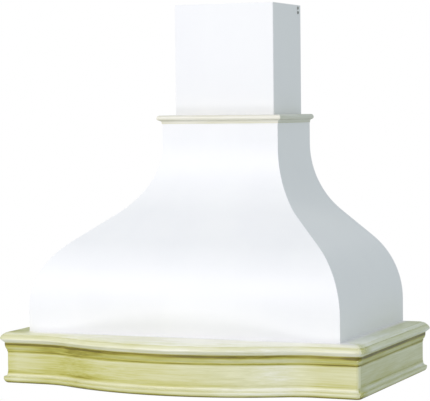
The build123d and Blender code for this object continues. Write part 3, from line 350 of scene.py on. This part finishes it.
def sawn_softwood():
    """Unpainted pine blocks: growth rings drawn out along their height, and saw marks."""
    pine = Finish("raw_wood")
    rings = pine.noise(240.0, 300.0, 6.0, detail=3.0, distortion=0.6)
    saw = pine.noise(30.0, 30.0, 900.0, detail=2.0)
    wood_tints = ((0.3, paint(226, 198, 152)), (0.52, paint(211, 176, 124)), (0.7, paint(182, 138, 86)))
    pine.relief(pine.add(pine.times(saw, 0.6), rings), 0.5, 0.5 * MM)
    return pine.set(Base_Color=pine.ramp(rings, wood_tints), Roughness=0.78)


# ---------------------------------------------------------------- metals and paints
def powder_coat(name, light, dark, roughness):
    """Smooth white coating: faint orange peel, and broad cloudiness in tone and sheen."""
    coat = Finish(name)
    cloud = coat.noise(7.0, 7.0, 4.0, detail=3.0)
    peel = coat.noise(420.0, 420.0, 420.0, detail=2.0)
    speck = coat.noise(1500.0, 1500.0, 1500.0, detail=1.0)
    tone = coat.add(coat.times(cloud, 0.8), coat.times(speck, 0.2))
    coat.relief(coat.add(peel, coat.times(speck, 0.25)), 0.12, 0.12 * MM)
    return coat.set(
        Base_Color=coat.ramp(tone, ((0.35, dark), (0.62, light))),
        Roughness=coat.span(cloud, 0.3, 0.7, roughness, roughness + 0.10),
        Specular_IOR_Level=0.5,
    )


def zinc_sheet(name, light, dark, cell):
    """Galvanised sheet: zinc crystals, cell metres across, each with its own tone and gloss."""
    zinc = Finish(name)
    spangle = zinc.node("ShaderNodeSeparateColor")
    zinc.connect(zinc.cells(1 / cell), spangle.inputs[0])
    frost = zinc.noise(900.0, 900.0, 900.0, detail=3.0)
    stain = zinc.noise(9.0, 9.0, 9.0, detail=4.0)
    tone = zinc.add(zinc.times(spangle.outputs[0], 0.5), zinc.times(stain, 0.5))
    zinc.relief(zinc.add(zinc.times(spangle.outputs[1], 0.5), frost), 0.15, 0.1 * MM)
    return zinc.set(
        Base_Color=zinc.ramp(tone, ((0.2, dark), (0.75, light))),
        Metallic=0.9,
        Roughness=zinc.span(spangle.outputs[2], 0.0, 1.0, 0.30, 0.52),
    )


def brushed_metal(name, light, dark, stretch, roughness):
    """Rolled or turned metal with fine lines; stretch is their cycles per metre along each axis."""
    metal = Finish(name)
    lines = metal.noise(*stretch, detail=3.0)
    stain = metal.noise(14.0, 14.0, 14.0, detail=3.0)
    tone = metal.add(metal.times(lines, 0.6), metal.times(stain, 0.4))
    metal.relief(lines, 0.12, 0.1 * MM)
    return metal.set(
        Base_Color=metal.ramp(tone, ((0.3, dark), (0.7, light))),
        Metallic=1.0,
        Roughness=metal.span(lines, 0.3, 0.7, roughness - 0.06, roughness + 0.10),
    )


def zinc_plate():
    """Bright zinc on screws and shafts, yellowed in patches."""
    plate = Finish("screw_steel")
    patch = plate.noise(260.0, 260.0, 260.0, detail=3.0)
    turned = plate.noise(1400.0, 1400.0, 5200.0, detail=1.0)
    zinc_tints = ((0.3, paint(134, 135, 136)), (0.55, paint(171, 171, 167)), (0.75, paint(196, 190, 170)))
    plate.relief(turned, 0.1, 0.05 * MM)
    return plate.set(
        Base_Color=plate.ramp(patch, zinc_tints),
        Metallic=0.95,
        Roughness=plate.span(patch, 0.3, 0.7, 0.26, 0.42),
    )


def mirror_chrome():
    """Polished chrome with the faintest haze and wiping marks."""
    chrome = Finish("chrome")
    haze = chrome.noise(60.0, 60.0, 60.0, detail=4.0, distortion=1.2)
    chrome.relief(chrome.noise(2200.0, 500.0, 900.0, detail=1.0), 0.03, 0.05 * MM)
    return chrome.set(
        Base_Color=chrome.ramp(haze, ((0.3, paint(206, 208, 211)), (0.7, paint(226, 227, 229)))),
        Metallic=1.0,
        Roughness=chrome.span(haze, 0.35, 0.75, 0.05, 0.16),
    )


def frosted_glass():
    """Lamp glass: sandblasted inside, with small prisms that spread the light."""
    glass = Finish("lamp_glass")
    prisms = glass.cells(420.0, "Distance")
    frost = glass.noise(2600.0, 2600.0, 2600.0, detail=2.0)
    glass.relief(glass.add(glass.times(prisms, 0.8), glass.times(frost, 0.3)), 0.45, 0.6 * MM)
    return glass.set(
        Base_Color=glass.ramp(prisms, ((0.0, paint(236, 242, 243)), (0.8, paint(250, 252, 252)))),
        Roughness=glass.span(frost, 0.3, 0.7, 0.30, 0.48),
        IOR=1.5,
        Transmission_Weight=0.75,
    )


def crinkled_mesh():
    """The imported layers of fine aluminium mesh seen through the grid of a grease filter."""
    mesh = Finish("filter_mesh")
    strands = []
    for sign in (1.0, -1.0):
        # Wavy strands that lean one way in each layer, this many per metre along x and y.
        lean = mesh.add(mesh.times(mesh.x, 260.0), mesh.times(mesh.y, sign * 520.0))
        lean = mesh.add(lean, mesh.times(mesh.noise(60.0, 60.0, 60.0, detail=2.0), 3.5))
        strands.append(mesh.math("ABSOLUTE", mesh.math("SINE", mesh.times(lean, pi))))
    wire = mesh.span(mesh.math("MINIMUM", *strands), 0.08, 0.34, 1.0, 0.0)
    crush = mesh.noise(130.0, 130.0, 130.0, detail=4.0, distortion=0.8)
    # Painted shade: the gaps between the strands are dark, where the deeper layers lie in shade.
    colour = mesh.mix(wire, paint(96, 98, 100), paint(196, 198, 200))
    colour = mesh.mix(mesh.span(crush, 0.35, 0.65, 0.0, 0.5), colour, paint(128, 130, 132))
    mesh.relief(mesh.add(wire, mesh.times(crush, 0.8)), 0.8, 1.2 * MM)
    return mesh.set(Base_Color=colour, Metallic=0.85, Roughness=mesh.span(crush, 0.3, 0.7, 0.34, 0.60))


def moulded_plastic(name, light, dark, roughness, texture):
    """Moulded plastic: spark texture of so many cycles per metre, and a tone that drifts slightly."""
    plastic = Finish(name)
    drift = plastic.noise(40.0, 40.0, 40.0, detail=2.0)
    spark = plastic.noise(texture, texture, texture, detail=2.0)
    plastic.relief(spark, 0.18, 0.1 * MM)
    return plastic.set(
        Base_Color=plastic.ramp(drift, ((0.3, dark), (0.7, light))),
        Roughness=plastic.span(spark, 0.3, 0.7, roughness - 0.05, roughness + 0.08),
        Specular_IOR_Level=0.5,
    )


def enamel():
    """Black enamel on the fan motor, dusty in patches."""
    black = Finish("motor_paint")
    peel = black.noise(500.0, 500.0, 500.0, detail=3.0)
    dust = black.noise(70.0, 70.0, 70.0, detail=4.0)
    black.relief(peel, 0.3, 0.2 * MM)
    return black.set(
        Base_Color=black.ramp(dust, ((0.35, paint(34, 35, 37)), (0.75, paint(72, 72, 70)))),
        Roughness=black.span(dust, 0.3, 0.7, 0.26, 0.52),
        Coat_Weight=0.3,
        Coat_Roughness=0.15,
    )


# For coats and plastics: the light and the dark of its tone, and its roughness. The last number is
# a plastic's cycles per metre of texture, or the size of a zinc crystal in metres.
finishes = {
    "raw_wood": sawn_softwood(),
    "white_steel": powder_coat("white_steel", paint(248, 248, 249), paint(245, 245, 247), 0.42),
    "pan_steel": powder_coat("pan_steel", paint(236, 237, 238), paint(226, 228, 230), 0.40),
    "galvanised_steel": zinc_sheet("galvanised_steel", paint(203, 207, 211), paint(158, 163, 168), 0.011),
    "wheel_steel": zinc_sheet("wheel_steel", paint(196, 200, 204), paint(150, 154, 158), 0.006),
    "screw_steel": zinc_plate(),
    "filter_aluminium": brushed_metal(
        "filter_aluminium", paint(218, 220, 222), paint(184, 187, 190), (30.0, 900.0, 900.0), 0.34
    ),
    "filter_mesh": crinkled_mesh(),
    "chrome": mirror_chrome(),
    "lamp_glass": frosted_glass(),
    "white_plastic": moulded_plastic(
        "white_plastic", paint(240, 240, 237), paint(231, 231, 227), 0.32, 1800.0
    ),
    "grey_plastic": moulded_plastic(
        "grey_plastic", paint(150, 152, 154), paint(136, 138, 140), 0.46, 1300.0
    ),
    "black_plastic": moulded_plastic("black_plastic", paint(44, 44, 46), paint(30, 30, 32), 0.42, 1300.0),
    "motor_paint": enamel(),
}

for name, node in nodes.items():
    for holder in node.material_slots:
        slot = holder.material.name.split(".")[0]
        if slot == "cream_wood":
            part = "collar" if name.startswith("collar") else "frame"
            holder.material = glazed[part, "x" if name.endswith("front") else "y"]
        else:
            holder.material = finishes[slot]


# ---------------------------------------------------------------- pieces of the scene
def new_piece(name, mesh, slot, body, material=None):
    """A mesh object that rides on a body and takes a slot's finish."""
    piece = bpy.data.objects.new(name, mesh)
    bpy.context.scene.collection.objects.link(piece)
    mesh.materials.append(material or finishes[slot])
    for polygon in mesh.polygons:
        polygon.use_smooth = True
    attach(piece, body)
    return piece


# A screw's rings from the middle of its head to the rim, and the points on each.
RINGS, SPOKES = 22, 64
# Its recess and shank as shares of the head's radius or height, and the shank's threaded share.
RECESS_REACH, RECESS_DEPTH = 0.56, 0.62
ARM_WIDTH, RECESS_WALL = 0.26, 0.12
SHANK, TIP, THREADED = 0.5, 0.12, 0.8


def screw(radius, height, length):
    """A pan-head screw with a cross recess, its head's foot at the origin and its top on +Z."""
    shape = bmesh.new()
    recess = RECESS_REACH * radius
    wide = recess * ARM_WIDTH

    def top(x, y):
        """Height of the head over a point: a dome that falls fast at its rim, less the recess."""
        out = (x * x + y * y) / radius**2
        dome = height * max(1.0 - out**2.2, 0.0) ** 0.55
        far, near = max(abs(x), abs(y)), min(abs(x), abs(y))
        arms = min(far / recess, 1.0)
        wall = min(max((wide * (1.25 - 0.5 * arms) - near) / (RECESS_WALL * recess), 0.0), 1.0)
        end = min(max((recess - far) / (RECESS_WALL * recess), 0.0), 1.0)
        return dome - RECESS_DEPTH * height * wall * end

    def ring(reach, level=None):
        """Points round the axis, on the head's dome unless a level is given."""
        turns = [2 * pi * spoke / SPOKES for spoke in range(SPOKES)]
        spread = [(reach * cos(turn), reach * sin(turn)) for turn in turns]
        return [shape.verts.new((x, y, top(x, y) if level is None else level)) for x, y in spread]

    def join(inner, outer):
        for spoke in range(SPOKES):
            after = (spoke + 1) % SPOKES
            shape.faces.new((inner[spoke], outer[spoke], outer[after], inner[after]))

    centre = shape.verts.new((0, 0, top(0, 0)))
    loops = [ring(radius * (number / RINGS) ** 0.8) for number in range(1, RINGS + 1)]
    for spoke in range(SPOKES):
        shape.faces.new((centre, loops[0][spoke], loops[0][(spoke + 1) % SPOKES]))
    for inner, outer in zip(loops, loops[1:]):
        join(inner, outer)
    for share, level in ((SHANK, 0.0), (SHANK, -THREADED * length), (TIP, -length)):
        loops.append(ring(share * radius, level))
        join(loops[-2], loops[-1])
    shape.faces.new(reversed(loops[-1]))
    return shape


def facing(point, direction, turn):
    """A frame at a point (mm) whose Z looks along a direction, turned about it by degrees."""
    look = Vector(direction).to_track_quat("Z", "Y").to_matrix().to_4x4()
    return Matrix.Translation(Vector(point) * MM) @ look @ Matrix.Rotation(radians(turn), 4, "Z")


def mesh_from(name, shape):
    """A mesh with a bmesh's shape, which is freed."""
    made = bpy.data.meshes.new(name)
    shape.to_mesh(made)
    shape.free()
    return made


def add_screws(name, body, radius, height, length, places):
    """Cross-head screws (mm) in one piece; a place is (point in mm, direction, turn)."""
    shapes = bmesh.new()
    one = mesh_from("screw", screw(radius * MM, height * MM, length * MM))
    for place in places:
        start = len(shapes.verts)
        shapes.from_mesh(one)
        shapes.verts.ensure_lookup_table()
        bmesh.ops.transform(shapes, matrix=facing(*place), verts=shapes.verts[start:])
    bpy.data.meshes.remove(one)
    return new_piece(name, mesh_from(name, shapes), "screw_steel", body)


# Each shelf board comes up to the foot of the bell, its outer edge bevelled down to the thumb.
SHELF_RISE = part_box("canopy_front")[0][2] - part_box("shelf_front")[1][2]
SHELF_BEVEL = 5.5 * MM
# Two walls whose cross product is less than this are taken as one, and a wall faces outside where
# its normal goes along the outward direction by more than this.
IN_LINE, FACES_OUT = 0.05, 0.3


def shelf_move(vertex, top, outward):
    """How a vertex of a board's top faces moves: up, and in from the walls that face outside."""
    walls = []
    for edge in vertex.link_edges:
        sides = [face for face in edge.link_faces if face not in top]
        if len(sides) == 1 and len(edge.link_faces) == 2:
            wall = sides[0].normal.to_2d().normalized()
            walls.append((wall, SHELF_BEVEL if wall.dot(outward) > FACES_OUT else 0.0))
    (first, step), (second, other_step) = walls
    cross = first.x * second.y - first.y * second.x
    if abs(cross) < IN_LINE:
        move = -first * step
    else:
        aside = second.y * step - first.y * other_step
        along = first.x * other_step - second.x * step
        move = Vector((aside, along)) / -cross
    return Vector((move.x, move.y, SHELF_RISE))


def raised_shelf(name, outward):
    """A copy of a shelf board with its top raised; outward is the way in plan that it faces."""
    shape = bmesh.new()
    shape.from_mesh(nodes[name].data)
    bmesh.ops.remove_doubles(shape, verts=shape.verts, dist=0.001 * MM)
    shape.normal_update()
    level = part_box(name)[1][2] - 0.01 * MM
    top = [face for face in shape.faces if face.normal.z > 0.99 and face.calc_center_median().z > level]
    lifted = set(top)
    raised = {}
    for vertex in (vertex for face in top for vertex in face.verts):
        if vertex not in raised:
            raised[vertex] = shape.verts.new(vertex.co + shelf_move(vertex, lifted, outward))
    for face in top:
        shape.faces.new([raised[vertex] for vertex in face.verts])
        for loop in face.loops:
            if any(side not in lifted for side in loop.edge.link_faces):
                first, second = loop.vert, loop.link_loop_next.vert
                shape.faces.new((first, second, raised[second], raised[first]))
    bmesh.ops.delete(shape, geom=top, context="FACES")
    finish = glazed["frame", "x" if name.endswith("front") else "y"]
    shelf = new_piece(f"{name}_top", mesh_from(name, shape), "cream_wood", "hood", finish)
    for polygon in shelf.data.polygons:
        polygon.use_smooth = False
    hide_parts(name)


raised_shelf("shelf_front", Vector((0.0, -1.0)))
raised_shelf("shelf_left", Vector((-1.0, 0.0)))
raised_shelf("shelf_right", Vector((1.0, 0.0)))

# The outer faces of the chimney's sides and the inner faces of the pan's, which carry the screws.
CHIMNEY_FACE, PAN_FACE = 126.5, 410.5
SIDES = (-1, 1)
chimney_heads = add_screws(
    "chimney_screw_heads",
    "chimney",
    radius=4.0,
    height=2.4,
    length=8.0,
    places=[((side * CHIMNEY_FACE, -20, z), (side, 0, 0), 20 + z) for side in SIDES for z in (867, 878)],
)
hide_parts("chimney_screws")
add_screws(
    "pan_screws",
    "hood",
    radius=4.0,
    height=2.2,
    length=16.0,
    places=[
        ((side * PAN_FACE, y, 48), (-side, 0, 0), 3 * y) for side in SIDES for y in (-80, -240, -400)
    ],
)

# Expanded-aluminium grid that covers the mesh of each filter, seen from below: the length and width
# of a diamond, its bars' thickness and the grid's height (mm), and half the count of diamonds each way.
GRID_LONG, GRID_SHORT = 12.0, 6.5
GRID_BAR = 0.9
GRID_LEVEL = 31.2
GRID_COLUMNS, GRID_ROWS = 23, 39


def filter_grid(label):
    """A sheet of diamonds with thin bars between them, on the filter of that side."""
    low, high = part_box(f"filter_mesh_{label}")
    middle_x, middle_y = (low[0] + high[0]) / 2 / MM, (low[1] + high[1]) / 2 / MM
    sheet = bmesh.new()
    points = {}

    def point(column, row):
        if (column, row) not in points:
            place = (middle_x + column * GRID_LONG / 2, middle_y + row * GRID_SHORT / 2, GRID_LEVEL)
            points[column, row] = sheet.verts.new(Vector(place) * MM)
        return points[column, row]

    for column in range(-GRID_COLUMNS, GRID_COLUMNS + 1):
        for row in range(-GRID_ROWS, GRID_ROWS + 1):
            if (column + row) % 2 == 0:
                corners = ((column - 1, row), (column, row - 1), (column + 1, row), (column, row + 1))
                sheet.faces.new([point(*corner) for corner in corners])
    mesh = mesh_from("filter_grid", sheet)
    grid = new_piece(f"filter_grid_{label}", mesh, "filter_aluminium", f"filter_{label}")
    bars = grid.modifiers.new("bars", "WIREFRAME")
    bars.thickness = GRID_BAR * MM
    bars.use_even_offset = False


filter_grid("left")
filter_grid("right")


# ---------------------------------------------------------------- floor, light and camera
# The floor, in metres, and the light it shows the camera over what it sends the object.
FLOOR_RADIUS, FLOOR_LEVEL = 14.0, -6.0
FLOOR_COLOUR, FLOOR_GLOW = paint(240, 240, 240), 0.42
AMBIENT_COLOUR = (0.92, 1.0, 1.025, 1.0)
AMBIENT_STRENGTH = 0.61


def floor_finish():
    """A plain pale surface, a little brighter to the camera and through glass than to the object."""
    plain = Finish("floor")
    rays = plain.node("ShaderNodeLightPath").outputs
    seen = plain.math("MAXIMUM", rays["Is Camera Ray"], rays["Is Transmission Ray"])
    return plain.set(
        Base_Color=FLOOR_COLOUR,
        Roughness=0.9,
        Emission_Color=NEUTRAL,
        Emission_Strength=plain.times(seen, FLOOR_GLOW),
    )


floor_shape = bmesh.new()
below = Matrix.Translation((0, 0, FLOOR_LEVEL))
bmesh.ops.create_circle(floor_shape, cap_ends=True, segments=96, radius=FLOOR_RADIUS, matrix=below)
floor_mesh = mesh_from("floor", floor_shape)
floor_mesh.materials.append(floor_finish())
floor = bpy.data.objects.new("floor", floor_mesh)
bpy.context.scene.collection.objects.link(floor)


def studio():
    """Even light from all round, and white where the camera looks past the object."""
    world = bpy.data.worlds.new("studio")
    world.use_nodes = True
    world.node_tree.nodes.clear()
    add, link = world.node_tree.nodes.new, world.node_tree.links.new
    rays = add("ShaderNodeLightPath").outputs
    seen = add("ShaderNodeMath")
    seen.operation = "MAXIMUM"
    ambient = add("ShaderNodeBackground")
    ambient.inputs["Color"].default_value = AMBIENT_COLOUR
    ambient.inputs["Strength"].default_value = AMBIENT_STRENGTH
    backdrop = add("ShaderNodeBackground")
    backdrop.inputs["Color"].default_value = NEUTRAL
    blend = add("ShaderNodeMixShader")
    link(rays["Is Camera Ray"], seen.inputs[0])
    link(rays["Is Transmission Ray"], seen.inputs[1])
    link(seen.outputs[0], blend.inputs[0])
    link(ambient.outputs[0], blend.inputs[1])
    link(backdrop.outputs[0], blend.inputs[2])
    link(blend.outputs[0], add("ShaderNodeOutputWorld").inputs[0])
    return world


bpy.context.scene.world = studio()


def softbox(name, place, aim, size, power, colour):
    """A rectangular area light at a place, turned to its aim: metres and watts."""
    light = bpy.data.lights.new(name, "AREA")
    light.shape = "RECTANGLE"
    light.size, light.size_y = size
    light.energy = power
    light.color = colour
    lamp = bpy.data.objects.new(name, light)
    bpy.context.scene.collection.objects.link(lamp)
    turn = (Vector(aim) - Vector(place)).to_track_quat("-Z", "Y").to_matrix().to_4x4()
    lamp.matrix_world = Matrix.Translation(place) @ turn


softbox(
    "key",
    place=(-1.7, -4.7, 2.8),
    aim=(0.0, -0.25, 0.42),
    size=(3.2, 2.4),
    power=117.0,
    colour=(1.0, 0.93, 0.95),
)
softbox(
    "low_card",
    place=(-0.7, -4.6, -1.6),
    aim=(0.0, -0.25, 0.2),
    size=(3.2, 1.2),
    power=30.0,
    colour=(1.0, 0.94, 0.94),
)

# The photograph's own viewpoint: place in metres, turn in degrees, and the focal length in pixels
# of a frame 430 wide.
EYE = Vector((1.7409, -4.4594, 0.6358))
YAW, PITCH, ROLL = radians(22.489), radians(-2.733), radians(-0.596)
FOCAL_PIXELS, FRAME_PIXELS = 1928.85, 430
FAR_CLIP = 60.0


def photo_camera():
    """The camera that took the photograph, fitted to the object's corners in it."""
    ahead = Vector((-sin(YAW) * cos(PITCH), cos(YAW) * cos(PITCH), sin(PITCH)))
    level = Vector((cos(YAW), sin(YAW), 0.0))
    above = level.cross(ahead)
    right = level * cos(ROLL) + above * sin(ROLL)
    upward = above * cos(ROLL) - level * sin(ROLL)
    lens = bpy.data.cameras.new("camera")
    lens.sensor_width = 36.0
    lens.lens = FOCAL_PIXELS / FRAME_PIXELS * lens.sensor_width
    lens.sensor_fit = "HORIZONTAL"
    lens.clip_end = FAR_CLIP
    camera = bpy.data.objects.new("camera", lens)
    bpy.context.scene.collection.objects.link(camera)
    turn = Matrix((right, upward, -ahead)).transposed().to_4x4()
    camera.matrix_world = Matrix.Translation(EYE) @ turn
    return camera


bpy.context.scene.camera = photo_camera()
bpy.context.scene.view_settings.view_transform = "Standard"

bpy.context.view_layer.update()
